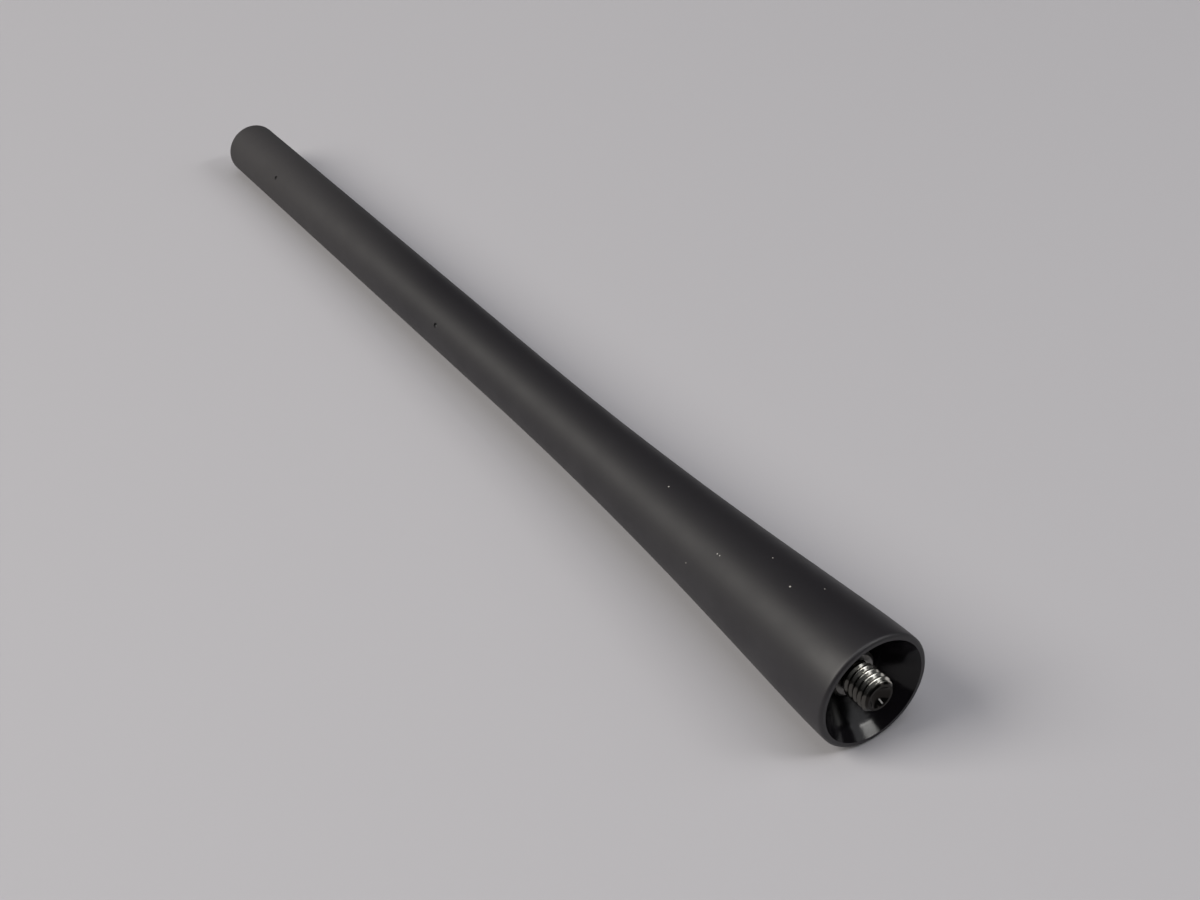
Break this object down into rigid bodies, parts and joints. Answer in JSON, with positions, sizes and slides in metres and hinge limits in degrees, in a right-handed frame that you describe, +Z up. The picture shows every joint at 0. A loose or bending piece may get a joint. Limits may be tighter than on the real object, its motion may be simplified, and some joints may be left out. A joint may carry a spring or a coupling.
{
  "type": "car mast aerial",
  "caption": "Slim black rubber car mast aerial with a domed tip, a bell-shaped hollow skirt and a threaded metal stud that screws it onto a roof base.",
  "frame": {"origin": "on the surface that the aerial lies on, under the centre of its box", "axes": "+X along the mast from the tip towards the stud, +Z up from the surface; the mast's axis dips about 1.4 degrees towards the tip, because it lies on its rim and its tip"},
  "size_m": [0.2014, 0.02, 0.02],
  "materials": {
    "rubber": "matte moulded rubber",
    "bright_plate": "bright nickel plate on steel",
    "dull_plate": "dull nickel plate on turned brass",
    "glass_fibre": "ground glass-fibre rod",
    "copper_wire": "enamelled copper wire",
    "shrink_tube": "shrunk plastic tube"
  },
  "bodies": {
    "root": {"rubber_sheath": "rubber", "threaded_stud": "bright_plate", "ferrule": "dull_plate", "core_rod": "glass_fibre", "aerial_winding": "copper_wire", "shrink_sleeve": "shrink_tube"}
  },
  "joints": []
}
